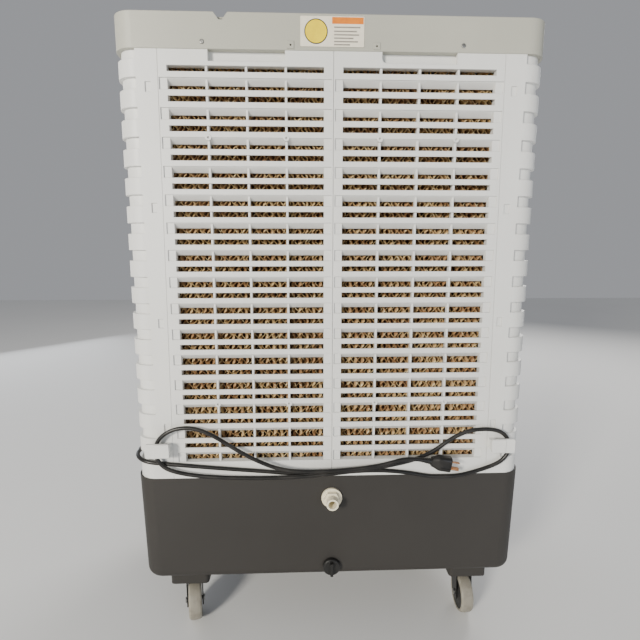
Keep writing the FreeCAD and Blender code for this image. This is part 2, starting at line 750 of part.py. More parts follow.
def knob(label, across):
    """A rotary knob: skirt, grip bar and a stem that reaches back into its switch."""
    body = new_body()
    profile = [(0, -20), (3, -20), (3, 4.5), ("knob_radius", 4.5), ("knob_radius", 10), (21, 14), (0, 14)]
    revolve(body, drawing(body, "XY", 0, profile), "Y")
    pad(body, drawing(body, "XZ", -26, rectangle((-4, 4), (-21, 21))), 13)
    return node(label, place(body, across, "face", "knob_z"))


def rotary_switches():
    cases = []
    for x in knob_places():
        case = block((f"{x} - 18", f"{x} + 18"), ("face - wall - 34", "face - wall"),
                     ("knob_z - 18", "knob_z + 18"))
        bore = rod("y", (x, "face - wall - 20", "knob_z"), "3 + running", 21)
        cases.append(carved(case, bore))
    return node("rotary_switches", grouped(*cases))


def screw(x, y, z, heading):
    """A pan-head screw along Y: heading -1 puts its head towards -Y."""
    head = rod("y", (x, f"{y} - 1 + {heading}", z), 4, 2)
    shank = rod("y", (x, f"{y} - 5 - {heading} * 5", z), 2, 10)
    return joined(head, shank)


def body_screws():
    rear = [screw(x, "back - 1", 1180, -1) for x in (-230, 230)]
    front = [screw(x, "face + 4", z, 1) for x in (-210, 210) for z in ("knob_z - 33", "knob_z + 33")]
    return node("body_screws", grouped(*rear, *front))


# ---------------------------------------------------------------- casters

CORNERS = {"rear_left": (-1, -1, 13), "rear_right": (1, -1, 0),
           "front_left": (-1, 1, 0), "front_right": (1, 1, 0)}


def caster_brackets():
    brackets = []
    for side, end, _ in CORNERS.values():
        x, y = f"{side} * caster_x", f"{end} * caster_y"
        foot = soft_block((f"{x} - bracket_half", f"{x} + bracket_half"),
                          (f"{y} - bracket_half", f"{y} + bracket_half"),
                          ("bracket_low", "tank_low"), 8, "z")
        socket = rod("z", (x, y, "bracket_low - 1"), "stem + running", 31)
        brackets.append(carved(foot, socket))
    return node("caster_brackets", grouped(*brackets))


def swivelled(body, corner):
    """Stand a caster piece, drawn about its own swivel axis, under its corner of the tank."""
    side, end, turn = CORNERS[corner]
    body.Placement = Placement(Vector(), Rotation(Vector(0, 0, 1), turn))
    return place(body, f"{side} * caster_x", f"{end} * caster_y", 0)


def caster_fork(corner):
    """The fork: cheeks down both sides of the wheel, a crown above it and the swivel stem."""
    body = new_body()
    cheek = [("-trail - 13", "wheel_radius - 9"), ("-trail - 7", "wheel_radius - 14"),
             ("-trail + 7", "wheel_radius - 14"), ("-trail + 13", "wheel_radius - 9"),
             (19, 88), (19, 96), (-15, 96), (-21, 88)]
    pad(body, drawing(body, "YZ", 0, cheek), "wheel_width + 8", middle=True)
    gap = rectangle((-80, 80), (0, "2 * wheel_radius + 4"))
    pocket(body, drawing(body, "YZ", 0, gap), "wheel_width + 3")
    pad(body, drawing(body, "XY", 96, (0, 0, 14)), 4.5)
    pad(body, drawing(body, "XY", 98, (0, 0, "stem")), 30)
    pocket(body, drawing(body, "YZ", 0, ("-trail", "wheel_radius", "axle + running")), 60)
    return node("caster_fork_" + corner, swivelled(body, corner))


def caster_wheel(corner):
    """A wheel with a crowned tread, turned about its axle."""
    body = new_body()
    rim, half = "wheel_radius", "wheel_width / 2"
    profile = [(f"-{half}", "axle + running"), (half, "axle + running"), (half, 10),
               (f"{half} - 3", 14), (f"{half} - 3", f"{rim} - 9"), (half, f"{rim} - 6"),
               (f"{half} - 1", f"{rim} - 3"), (f"{half} - 4", f"{rim} - 0.9"), (4, rim),
               (-4, rim), (f"-{half} + 4", f"{rim} - 0.9"), (f"-{half} + 1", f"{rim} - 3"),
               (f"-{half}", f"{rim} - 6"), (f"-{half} + 3", f"{rim} - 9"), (f"-{half} + 3", 14),
               (f"-{half}", 10)]
    revolve(body, drawing(body, "XZ", 0, profile), "X")
    return node("caster_wheel_" + corner, on_axle(body, corner))


def on_axle(body, corner):
    """Move a piece drawn about the wheel's centre to its place behind the swivel axis."""
    side, end, turn = CORNERS[corner]
    body.Placement = Placement(Vector(), Rotation(Vector(0, 0, 1), turn))
    return place(body, f"{side} * caster_x + trail * sin({turn})",
                 f"{end} * caster_y - trail * cos({turn})", "wheel_radius")


def caster_axle(corner):
    body = new_body()
    pad(body, drawing(body, "YZ", 0, (0, 0, "axle")), "wheel_width + 12", middle=True)
    for head in ("wheel_width / 2 + 5", "-wheel_width / 2 - 7"):
        pad(body, drawing(body, "YZ", head, (0, 0, "axle + 2")), 2)
    return node("caster_axle_" + corner, on_axle(body, corner))


# ---------------------------------------------------------------- cord and its fittings

GLAND = (-397.5, -170, 409)      # where the cord leaves its gland on the left side
PLUG = (178, -264, 410)          # where the cord enters the plug
PLUG_TILT = 10                   # the plug points down to the right by this many degrees

CORD_ROUTE = [
    GLAND, (-397.5, -191, 410), (-397.4, -215, 410.5), (-386.5, -234, 408.5), (-367.5, -244.8, 405.5),
    (-341, -244.8, 402), (-308, -244.8, 398.5), (-262, -244.6, 393.5), (-206, -244.6, 388),
    (-140, -244.6, 382), (-66, -244.6, 374.5), (10, -244.6, 376), (84, -244.6, 380.5),
    (148, -245, 375.5), (205, -246, 364), (258, -247, 365.5), (296, -248, 376.5), (322, -248.4, 385.5),
    (342.5, -248.4, 395), (356.5, -248.8, 410.5), (360.5, -249, 430.5), (353.5, -249, 450),
    (336.5, -248.8, 463), (308, -248.4, 467), (273, -247.8, 463), (239, -247.2, 446),
    (205, -246.8, 419), (165, -248.6, 402), (105, -252, 391), (36, -253.2, 382), (-44, -253.2, 374),
    (-118, -253.4, 371.5), (-190, -253.6, 373), (-244, -253.8, 376.5), (-280, -253.8, 381),
    (-307, -253.8, 387), (-329, -253.6, 395), (-344, -253, 410), (-349.5, -252.6, 431),
    (-343.5, -252.6, 453), (-326, -252.6, 470), (-298, -252.8, 480), (-265, -253.4, 477.5),
    (-231, -255, 462), (-190, -258, 435), (-149, -261, 412), (-100, -262, 392), (-44, -262, 387.5),
    (20, -262.4, 390), (66, -262.8, 394.5), (108, -263.4, 402), (148.5, -264, 415), PLUG,
]


def cord_hooks():
    """Two hooks for the stored cord: a stem off the shell and a plate across its end."""
    hooks = []
    for side in (-1, 1):
        body = new_body()
        plate = rectangle((-24, 24), (-14.5, 14.5))
        pad(body, drawing(body, "XZ", "-back + 18", plate), 4)
        round_edges(body, 5, runs_along("y"))
        step = rectangle((f"-{side} * 9 - 14", f"-{side} * 9 + 14"), (-13.5, 13.5))
        pad(body, drawing(body, "XZ", "-back + 21", step), 2)
        stem = rectangle((f"-{side} * 15 - 7", f"-{side} * 15 + 7"), (-9, 9))
        pad(body, drawing(body, "XZ", "-back", stem), 19)
        hooks.append(place(body, f"{side} * 342", 0, "hook_z"))
    return node("cord_hooks", grouped(*hooks))


def cord_gland():
    x, y, z = GLAND
    barrel = rod("y", (x, y, z), 5.6, 24)
    foot = block((x, -391.85), (y + 2, y + 24), (z - 9, z + 9))
    return node("cord_gland", joined(barrel, foot))


def power_cord():
    return node("power_cord", tube(CORD_ROUTE, value("cord")))


def plug_pieces():
    """The moulded plug and its pins, drawn along +X from the cord's end and then tilted."""
    tilt = Placement(Vector(*PLUG), Rotation(Vector(0, 1, 0), PLUG_TILT))
    relief = doc.addObject("Part::Cone", "Relief")
    relief.Radius1, relief.Radius2, relief.Height = 4.6, 7, 22
    relief.Placement = Placement(Vector(), TURNS["x"])
    grip = rod("x", (18, 0, 0), 11, 22)
    head = soft_block((36, 58), (-11, 11), (-15, 15), 8, "x")
    body = joined(relief, grip, head)
    body.Placement = tilt
    blades = [block((58, 76), (-3.2, 3.2), (z - 0.8, z + 0.8)) for z in (-6, 5)]
    ground = rod("x", (58, 4, -11.5), 2.4, 21)
    pins = grouped(*blades, ground)
    pins.Placement = tilt
    node("plug_body", body)
    node("plug_pins", pins)


# ---------------------------------------------------------------- the whole cooler

water_tank()
drain_plug()
level_window()
fill_door()
side_shells()
front_frame()
control_panel()
top_cap()
rear_grille("rear_grille_left", -1)
rear_grille("rear_grille_right", 1)
cooling_pads()
water_trough()
supply_hose()
pump()
inlet_spigot()
float_valve()
float_arm()
fan_shroud()
fan_motor()
motor_bracket()
fan_rotor()
fan_shaft()
for count, height in enumerate(louvre_heights(), start=1):
    louvre(f"louvre_{count}", height)
louvre_link()
for count, across in enumerate(vane_places(), start=1):
    vane(f"vane_{count}", across, driven=count == 3)
vane_link()
swing_motor()
for label, across in zip(("knob_speed", "knob_cool", "knob_swing"), knob_places()):
    knob(label, across)
rotary_switches()
body_screws()
caster_brackets()
for corner in CORNERS:
    caster_fork(corner)
    caster_wheel(corner)
    caster_axle(corner)
cord_hooks()
cord_gland()
power_cord()
plug_pieces()

doc.recompute()

failed = [thing.Label for thing in doc.Objects if {"Invalid", "Error"} & set(thing.State)]
if failed:
    raise SystemExit(f"these objects did not compute: {failed}")
for piece in NODES:
    if piece.Shape.isNull() or not piece.Shape.isValid() or not piece.Shape.Solids:
        raise SystemExit(f"{piece.Label} has no valid solid")

os.makedirs("parts", exist_ok=True)
for piece in NODES:
    print(f"{piece.Label:26s} solids {len(piece.Shape.Solids)}  volume {piece.Shape.Volume / 1000:9.1f} cm3")
    piece.Shape.exportStep(f"parts/{piece.Label}.step")
print(len(NODES), "nodes")
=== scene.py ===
# %% [markdown]
# # An evaporative cooler, finished in Blender
# The cooler's frame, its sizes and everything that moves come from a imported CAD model. This notebook adds
# what makes it look real: the corrugated cooling pads, the wound mains cord with its moulded plug, the
# small fittings, and a worked-out finish for every surface. The CAD pieces are never moved or resized, so
# each new piece takes its place from a CAD box.

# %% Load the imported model
import math
import random

import bpy
from mathutils import Matrix, Vector


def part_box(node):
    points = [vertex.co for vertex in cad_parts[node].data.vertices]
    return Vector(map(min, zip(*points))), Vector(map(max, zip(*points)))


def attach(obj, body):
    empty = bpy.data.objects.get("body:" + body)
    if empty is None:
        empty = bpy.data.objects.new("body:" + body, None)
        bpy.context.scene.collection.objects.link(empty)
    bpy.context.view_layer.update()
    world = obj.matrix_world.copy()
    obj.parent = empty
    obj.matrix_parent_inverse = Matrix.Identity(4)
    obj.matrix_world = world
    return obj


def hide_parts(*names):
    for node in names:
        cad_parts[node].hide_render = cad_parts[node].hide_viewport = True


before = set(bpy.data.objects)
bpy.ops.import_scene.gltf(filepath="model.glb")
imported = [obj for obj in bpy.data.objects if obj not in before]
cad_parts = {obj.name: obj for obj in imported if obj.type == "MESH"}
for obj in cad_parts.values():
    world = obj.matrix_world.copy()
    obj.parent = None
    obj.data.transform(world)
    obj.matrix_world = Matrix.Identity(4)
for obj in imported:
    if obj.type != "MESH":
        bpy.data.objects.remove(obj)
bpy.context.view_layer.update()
MM = 0.001


# %% [markdown]
# ## Two habits for modelling by operator
# An operator acts on whatever is selected, and the loaded CAD nodes all are. So every new piece starts by
# clearing the selection, and inside edit mode the faces or edges that the next operator should shape are
# picked out by a test on their place or their normal.

# %% Selecting and finishing helpers
def clear_selection():
    if bpy.context.object and bpy.context.object.mode != "OBJECT":
        bpy.ops.object.mode_set(mode="OBJECT")
    bpy.ops.object.select_all(action="DESELECT")


def start_piece(name, operator, **settings):
    """Add a primitive with nothing else selected, and name it."""
    clear_selection()
    operator(**settings)
    piece = bpy.context.object
    piece.name = piece.data.name = name
    return piece


def pick(piece, kind, test):
    """Enter edit mode with only the faces, edges or vertices selected that pass the test."""
    if bpy.context.object.mode != "OBJECT":
        bpy.ops.object.mode_set(mode="OBJECT")
    mesh = piece.data
    for group in (mesh.vertices, mesh.edges, mesh.polygons):
        group.foreach_set("select", [False] * len(group))
    chosen = {"VERT": mesh.vertices, "EDGE": mesh.edges, "FACE": mesh.polygons}[kind]
    for part in chosen:
        part.select = bool(test(part))
    bpy.ops.object.mode_set(mode="EDIT")
    bpy.ops.mesh.select_mode(type=kind)


def edge_span(piece, edge, axis):
    """How far an edge runs along an axis: 0 for X, 1 for Y, 2 for Z."""
    start, end = (piece.data.vertices[index].co for index in edge.vertices)
    return abs(end[axis] - start[axis])


def settle(piece, smooth=35):
    """Leave edit mode, put the piece's place into its mesh, and smooth the gentle edges."""
    if bpy.context.object.mode != "OBJECT":
        bpy.ops.object.mode_set(mode="OBJECT")
    clear_selection()
    piece.select_set(True)
    bpy.context.view_layer.objects.active = piece
    bpy.ops.object.transform_apply(location=True, rotation=True, scale=True)
    bpy.ops.object.shade_smooth_by_angle(angle=math.radians(smooth))
    return piece


def add_modifier(piece, kind, **settings):
    """Add a modifier and apply it at once, so that the mesh holds the finished shape."""
    clear_selection()
    piece.select_set(True)
    bpy.context.view_layer.objects.active = piece
    made = piece.modifiers.new(kind.title(), kind)
    for key, value in settings.items():
        setattr(made, key, value)
    bpy.ops.object.modifier_apply(modifier=made.name)


def join(pieces, name):
    clear_selection()
    for piece in pieces:
        piece.select_set(True)
    bpy.context.view_layer.objects.active = pieces[0]
    bpy.ops.object.join()
    pieces[0].name = pieces[0].data.name = name
    return pieces[0]


# %% [markdown]
# ## Shader maths as plain arithmetic
# A finish is mostly sums: take a noise, push its contrast, and mix it in. Wrapping a socket in a small class
# whose operators add Math nodes lets those sums be written as ordinary Python expressions.

# %% The socket wrapper and the finish builder
class Signal:
    """One number that varies over a surface."""

    def __init__(self, finish, socket):
        self.finish = finish
        self.socket = socket

    def _math(self, operation, left, right):
        return self.finish.node("ShaderNodeMath", {"operation": operation}, {0: left, 1: right})

    def __add__(self, other):
        return self._math("ADD", self, other)

    def __radd__(self, other):
        return self._math("ADD", other, self)

    def __sub__(self, other):
        return self._math("SUBTRACT", self, other)

    def __rsub__(self, other):
        return self._math("SUBTRACT", other, self)

    def __mul__(self, other):
        return self._math("MULTIPLY", self, other)

    def __rmul__(self, other):
        return self._math("MULTIPLY", other, self)

    def __pow__(self, other):
        return self._math("POWER", self, other)

    def steps(self, low, high):
        """0 below low, 1 above high, and smooth between."""
        settings = {"interpolation_type": "SMOOTHSTEP"}
        return self.finish.node("ShaderNodeMapRange", settings, {0: self, 1: low, 2: high})


class Finish:
    """A material: a Principled shader and the nodes that drive it."""

    def __init__(self, name, **flat):
        self.material = bpy.data.materials.new(name)
        self.material.use_nodes = True
        self.tree = self.material.node_tree
        self.shader = self.tree.nodes["Principled BSDF"]
        for key, value in flat.items():
            self.shader.inputs[key.replace("_", " ")].default_value = value
        self.place = self.node("ShaderNodeTexCoord", output="Object")

    def node(self, kind, settings=None, values=None, output=0):
        """Add any node: its settings first, then a value or a link for each socket."""
        made = self.tree.nodes.new(kind)
        for key, value in (settings or {}).items():
            setattr(made, key, value)
        for key, value in (values or {}).items():
            self.feed(made.inputs[key], value)
        return Signal(self, made.outputs[output])

    def feed(self, socket, value):
        if isinstance(value, Signal):
            self.tree.links.new(value.socket, socket)
        else:
            socket.default_value = value

    def drive(self, **links):
        for key, value in links.items():
            self.feed(self.shader.inputs[key.replace("_", " ")], value)

    def noise(self, scale, detail=3.0, roughness=0.5, place=None):
        values = {"Vector": place or self.place, "Scale": scale, "Detail": detail, "Roughness": roughness}
        return self.node("ShaderNodeTexNoise", None, values)

    def stretched(self, x, y, z):
        return self.node("ShaderNodeMapping", None, {"Vector": self.place, "Scale": (x, y, z)})

    def axis(self, letter):
        return self.node("ShaderNodeSeparateXYZ", None, {0: self.place}, output=letter)

    def blend(self, factor, low, high):
        """A colour that goes from low to high with the factor."""
        settings = {"data_type": "RGBA"}
        colours = [value if isinstance(value, Signal) else (*value, 1.0) for value in (low, high)]
        return self.node("ShaderNodeMix", settings, {0: factor, 6: colours[0], 7: colours[1]}, output=2)

    def bump(self, height, strength, distance, normal=None):
        values = {"Height": height, "Strength": strength, "Distance": distance}
        if normal:
            values["Normal"] = normal
        return self.node("ShaderNodeBump", None, values)

    def soft_edges(self, radius):
        """Normals that turn gently across the CAD model's sharp edges."""
        return self.node("ShaderNodeBevel", {"samples": 4}, {"Radius": radius})


def paint(finish, *names):
    """Give CAD nodes a finish through their material slots."""
    for name in names:
        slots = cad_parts[name].material_slots
        if not slots:
            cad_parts[name].data.materials.append(finish.material)
        for slot in slots:
            slot.material = finish.material


def coat(finish, *pieces):
    """Give pieces made here a finish."""
    for piece in pieces:
        piece.data.materials.clear()
        piece.data.materials.append(finish.material)


# %% [markdown]
# ## The camera
# It stands a little to the left of the middle, at two thirds of the cooler's height and under a metre away,
# and looks slightly down. That close, the near edges spread and the sides hide: most of the character of
# this view is its short distance, so distance comes before focal length when a view is matched.

# %% Place the camera
CAMERA_DISTANCE = 0.873              # from the rear grilles
PITCH, ROLL, YAW = 0.162, -0.0005, -0.0374
back_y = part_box("rear_grille_left")[0][1]
camera_data = bpy.data.cameras.new("Camera")
camera_data.sensor_width = 36
camera_data.lens = 25.875
camera = bpy.data.objects.new("Camera", camera_data)
bpy.context.collection.objects.link(camera)
camera.location = (-0.057, back_y - CAMERA_DISTANCE, 0.832)
camera.rotation_euler = (math.pi / 2 - PITCH, ROLL, YAW)
bpy.context.scene.camera = camera


# %% [markdown]
# ## The mains cord
# The cord leaves a gland round the corner, crosses the back, rounds the right hook, comes back, rounds the
# left hook and ends in its plug. A thick rubber lead can't bend sharply, so its line is one smooth spline
# whose control points are the route that the CAD tube follows. Where strands cross, they lie one diameter
# further from the cabinet. Blender works out a curve's box from its points' radii, so the points hold the
# cord's radius and the bevel, which multiplies them, is 1.

# %% Lay the cord along its route
CORD_RADIUS = 4 * MM
GLAND = (-0.3975, -0.170, 0.409)
PLUG = (0.178, -0.264, 0.410)
PLUG_TILT = 10
CORD_ROUTE = [
    GLAND, (-0.3975, -0.191, 0.41), (-0.3974, -0.215, 0.4105), (-0.3865, -0.234, 0.4085),
    (-0.3675, -0.2448, 0.4055), (-0.341, -0.2448, 0.402), (-0.308, -0.2448, 0.3985),
    (-0.262, -0.2446, 0.3935), (-0.206, -0.2446, 0.388), (-0.14, -0.2446, 0.382),
    (-0.066, -0.2446, 0.3745), (0.01, -0.2446, 0.376), (0.084, -0.2446, 0.3805),
    (0.148, -0.245, 0.3755), (0.205, -0.246, 0.364), (0.258, -0.247, 0.3655), (0.296, -0.248, 0.3765),
    (0.322, -0.2484, 0.3855), (0.3425, -0.2484, 0.395), (0.3565, -0.2488, 0.4105),
    (0.3605, -0.249, 0.4305), (0.3535, -0.249, 0.45), (0.3365, -0.2488, 0.463), (0.308, -0.2484, 0.467),
    (0.273, -0.2478, 0.463), (0.239, -0.2472, 0.446), (0.205, -0.2468, 0.419), (0.165, -0.2486, 0.402),
    (0.105, -0.252, 0.391), (0.036, -0.2532, 0.382), (-0.044, -0.2532, 0.374),
    (-0.118, -0.2534, 0.3715), (-0.19, -0.2536, 0.373), (-0.244, -0.2538, 0.3765),
    (-0.28, -0.2538, 0.381), (-0.307, -0.2538, 0.387), (-0.329, -0.2536, 0.395), (-0.344, -0.253, 0.41),
    (-0.3495, -0.2526, 0.431), (-0.3435, -0.2526, 0.453), (-0.326, -0.2526, 0.47),
    (-0.298, -0.2528, 0.48), (-0.265, -0.2534, 0.4775), (-0.231, -0.255, 0.462), (-0.19, -0.258, 0.435),
    (-0.149, -0.261, 0.412), (-0.1, -0.262, 0.392), (-0.044, -0.262, 0.3875), (0.02, -0.2624, 0.39),
    (0.066, -0.2628, 0.3945), (0.108, -0.2634, 0.402), (0.1485, -0.264, 0.415), PLUG,
]


def route_curve(name, points, radius):
    curve = bpy.data.curves.new(name, "CURVE")
    curve.dimensions = "3D"
    curve.resolution_u = 8
    curve.bevel_depth = 1.0
    curve.bevel_resolution = 5
    spline = curve.splines.new("NURBS")
    spline.points.add(len(points) - 1)
    for point, place in zip(spline.points, points):
        point.co = (*place, 1.0)
        point.radius = radius
    spline.order_u = 3
    spline.use_endpoint_u = True
    piece = bpy.data.objects.new(name, curve)
    bpy.context.collection.objects.link(piece)
    return piece


cord = route_curve("mains_cord", CORD_ROUTE, CORD_RADIUS)
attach(cord, "cabinet")
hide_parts("power_cord")


# %% [markdown]
# ## The gland and the plug
# Both are moulded on to the cord. A tapered sleeve with rings cut into it lets the cord bend without
# kinking where it meets something stiff, and the plug's body swells from such a sleeve into a grip that
# fingers can pull. A lathe profile makes the sleeve: rings are extruded outwards from a circle, one after
# the other, each scaled to the profile's radius.

# %% A ringed sleeve, extruded ring by ring
def ringed_sleeve(name, profile, place, turn):
    """Extrude a circle along +Z through (height, radius) pairs, then turn it and put it in place."""
    start, radius = profile[0]
    sleeve = start_piece(name, bpy.ops.mesh.primitive_circle_add, vertices=32, radius=radius,
                         fill_type="NGON", location=(0, 0, start))
    pick(sleeve, "FACE", lambda face: True)
    for (low, old), (high, new) in zip(profile, profile[1:]):
        move = {"value": (0, 0, high - low)}
        bpy.ops.mesh.extrude_region_move(TRANSFORM_OT_translate=move)
        bpy.ops.transform.resize(value=(new / old, new / old, 1), center_override=(0, 0, high))
    bpy.ops.mesh.select_all(action="SELECT")
    bpy.ops.mesh.normals_make_consistent(inside=False)
    bpy.ops.object.mode_set(mode="OBJECT")
    sleeve.matrix_world = Matrix.Translation(place) @ turn
    return settle(sleeve)


def sleeve_profile(length, wide, narrow, rings):
    """A cone with grooves round it, as (height, radius) pairs."""
    profile = [(0, wide)]
    for ring in range(rings):
        low = length * (ring + 0.35) / rings
        high = length * (ring + 0.75) / rings
        radius = wide + (narrow - wide) * (ring + 0.5) / rings
        groove = max(radius - 1.1 * MM, narrow)
        profile += [(low, radius), (low + 0.4 * MM, groove), (high, groove), (high + 0.4 * MM, radius)]
    return profile + [(length, narrow)]


def point_z_to(direction):
    """The turn that takes +Z to a direction."""
    return Vector(direction).to_track_quat("Z", "Y").to_matrix().to_4x4()


first_run = Vector(CORD_ROUTE[1]) - Vector(GLAND)
relief = ringed_sleeve("gland_relief", sleeve_profile(24 * MM, 5.6 * MM, 4.7 * MM, 5),
                       Vector(GLAND), point_z_to(first_run))
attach(relief, "cabinet")

plug_turn = Matrix.Rotation(math.radians(PLUG_TILT), 4, "Y") @ Matrix.Rotation(math.pi / 2, 4, "Y")
print("gland sleeve faces", len(relief.data.polygons))

# %% [markdown]
# The plug's body is a block whose edges are beveled round. Its two wide sides are inset and pushed in, which
# gives fingers a grip, and its neck is drawn out of the end face towards the sleeve by extruding and
# scaling that one face.

# %% Mould the plug's body
HEAD_MIDDLE = 47 * MM                # from the plug's back end to the middle of its grip
head = start_piece("plug_moulding", bpy.ops.mesh.primitive_cube_add, size=1, location=(0, 0, HEAD_MIDDLE))
head.scale = (30 * MM, 22 * MM, 22 * MM)
bpy.ops.object.transform_apply(location=True, rotation=True, scale=True)
pick(head, "EDGE", lambda edge: edge_span(head, edge, 2) > 20 * MM)
bpy.ops.mesh.bevel(offset=7 * MM, segments=6, affect="EDGES")
pick(head, "FACE", lambda face: face.normal.z < -0.9)
for drop, size in ((-6 * MM, 0.86), (-6 * MM, 0.80), (-5 * MM, 0.86)):
    bpy.ops.mesh.extrude_region_move(TRANSFORM_OT_translate={"value": (0, 0, drop)})
    bpy.ops.transform.resize(value=(size, size, 1))
pick(head, "FACE", lambda face: face.normal.z > 0.9)
bpy.ops.mesh.bevel(offset=1.2 * MM, segments=2, affect="EDGES")
pick(head, "FACE", lambda face: abs(face.normal.y) > 0.999 and abs(face.center.z - HEAD_MIDDLE) < 12 * MM)
bpy.ops.mesh.inset(thickness=1.6 * MM, use_even_offset=False)
bpy.ops.mesh.inset(thickness=0.5 * MM, depth=-0.9 * MM, use_even_offset=False)
settle(head)
head.data.transform(Matrix.Translation(PLUG) @ plug_turn)
NECK_RADIUS = 4.6 * MM
NECK_TAPER = 0.11
GROOVE_DEPTH = 0.9 * MM
neck = [(0, NECK_RADIUS)]
for ring, low in enumerate((2, 4.5, 6, 8.5, 10, 12.5, 14, 16.5, 18)):
    for z in (low * MM, (low + 0.4) * MM):
        neck.append((z, NECK_RADIUS + z * NECK_TAPER - (GROOVE_DEPTH if ring % 2 else 0)))
collar = ringed_sleeve("plug_sleeve", neck + [(31 * MM, 7 * MM)], Vector(PLUG), plug_turn)
plug = join([head, collar], "plug_moulding")
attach(plug, "cabinet")
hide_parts("plug_body")
print("plug size", [round(side * 1000, 1) for side in plug.dimensions])


# %% [markdown]
# ## The cooling pads
# A cooling pad is a stack of wavy paper sheets glued crest to crest, with the waves of neighbours slanting
# different ways. A flat block with a picture of that would look dead through the grille, where light catches
# single edges and is lost between them. So one wave is bent in edit mode from a small grid, an Array
# modifier repeats it up the sheet, and the sheets stand side by side in front of a dense core.

# %% Bend one wave and repeat it up a sheet
WAVE = 16 * MM
SWING = 3.1 * MM
SHEET_DEPTH = 20 * MM
SHEET_GAP = 6.6 * MM
STEPS = 6


def wavy_sheet(name, low, high, slant):
    """A corrugated sheet that fills a height, with its face at y=0; slant lifts the wave with depth."""
    count = math.ceil((high - low) / WAVE) + 1
    sheet = start_piece(name, bpy.ops.mesh.primitive_grid_add, x_subdivisions=1, y_subdivisions=STEPS,
                        size=1, location=(0, 0, 0))
    bpy.ops.object.mode_set(mode="EDIT")
    bpy.ops.mesh.select_all(action="SELECT")
    bpy.ops.transform.resize(value=(SHEET_DEPTH, WAVE, 1))
    bpy.ops.object.mode_set(mode="OBJECT")
    for vertex in sheet.data.vertices:
        deep = vertex.co.x + SHEET_DEPTH / 2
        along = vertex.co.y
        phase = 2 * math.pi * (along / WAVE)
        vertex.co = (SWING * math.sin(phase), deep, along + deep * slant)
    add_modifier(sheet, "ARRAY", count=count, use_relative_offset=False, use_constant_offset=True,
                 constant_offset_displace=(0, 0, WAVE), use_merge_vertices=True, merge_threshold=0.1 * MM)
    return sheet


def trim(piece, low, high):
    """Cut a piece off level at two heights."""
    for height, side in ((low, "clear_inner"), (high, "clear_outer")):
        pick(piece, "FACE", lambda face: True)
        bpy.ops.mesh.bisect(plane_co=(0, 0, height), plane_no=(0, 0, 1), **{side: True})
        bpy.ops.object.mode_set(mode="OBJECT")


# %% [markdown]
# Two sheets are made, one slanting steeply and one hardly at all. Each is copied along the pad by turns,
# shifted up or down by a share of one wave, because real sheets are never glued quite in step.

# %% Fill both pads with sheets
draw = random.Random(7)


def copy_of(piece, shift):
    clone = piece.copy()
    clone.data = piece.data.copy()
    clone.data.transform(Matrix.Translation(shift))
    bpy.context.collection.objects.link(clone)
    return clone


for side in ("left", "right"):
    low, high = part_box("pad_" + side)
    sheets = []
    for slant in (0.9, -0.25):
        model = wavy_sheet("sheet", low.z, high.z, slant)
        places = range(2 + (slant > 0), int((high.x - low.x) / SHEET_GAP), 2)
        for place in places:
            x = low.x + SWING + place * SHEET_GAP - SHEET_GAP
            if x + SWING + 0.5 * MM > high.x:
                continue
            lift = low.z - WAVE * draw.random()
            sheets.append(copy_of(model, (x, low.y + 0.3 * MM, lift)))
        bpy.data.objects.remove(model)
    stack = join(sheets, "cooling_pad_" + side)
    trim(stack, low.z + 1 * MM, high.z - 1 * MM)
    add_modifier(stack, "SOLIDIFY", thickness=0.6 * MM, offset=0)
    core = start_piece("core", bpy.ops.mesh.primitive_cube_add, size=1,
                       location=(low + high + Vector((0, SHEET_DEPTH, 0))) / 2)
    core.scale = (high.x - low.x, high.y - low.y - SHEET_DEPTH, high.z - low.z)
    bpy.ops.object.transform_apply(location=True, rotation=True, scale=True)
    pick(core, "EDGE", lambda edge: True)
    bpy.ops.mesh.bevel(offset=3 * MM, segments=2, affect="EDGES")
    pick(core, "FACE", lambda face: face.normal.y > 0.9)
    bpy.ops.mesh.inset(thickness=6 * MM)
    bpy.ops.mesh.inset(thickness=1 * MM, depth=-2 * MM)
    bpy.ops.object.mode_set(mode="OBJECT")
    pad = settle(join([core, stack], "cooling_pad_" + side), smooth=50)
    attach(pad, "cabinet")
    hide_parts("pad_" + side)
    print(pad.name, "faces", len(pad.data.polygons))


# %% [markdown]
# ## Screws
# A pan-head screw is a low dome with a cross sunk in it. The dome is a cylinder whose rim is beveled round,
# and a Boolean cuts the cross, because two crossing slots can't be had by extruding whole faces of a
# disc. One screw is modelled, and six copies take the CAD screws' places.

# %% Model one screw and copy it
def pan_head():
    screw = start_piece("screw", bpy.ops.mesh.primitive_cylinder_add, vertices=32, radius=4 * MM,
                        depth=2 * MM, location=(0, 0, 1 * MM))
    pick(screw, "FACE", lambda face: face.normal.z > 0.9)
    bpy.ops.mesh.bevel(offset=1.4 * MM, segments=5, affect="EDGES")
    pick(screw, "FACE", lambda face: face.normal.z < -0.9)
    bpy.ops.mesh.inset(thickness=2.1 * MM)
    bpy.ops.mesh.extrude_region_move(TRANSFORM_OT_translate={"value": (0, 0, -8 * MM)})
    bpy.ops.object.mode_set(mode="OBJECT")
    arms = []
    for size in ((4.6 * MM, 0.9 * MM), (0.9 * MM, 4.6 * MM)):
        arm = start_piece("arm", bpy.ops.mesh.primitive_cube_add, size=1, location=(0, 0, 1.7 * MM))
        arm.scale = (*size, 1.6 * MM)
        bpy.ops.object.transform_apply(location=True, rotation=True, scale=True)
        arms.append(arm)
    for arm in arms:
        add_modifier(screw, "BOOLEAN", operation="DIFFERENCE", object=arm, solver="EXACT")
        bpy.data.objects.remove(arm)
    return settle(screw, smooth=30)


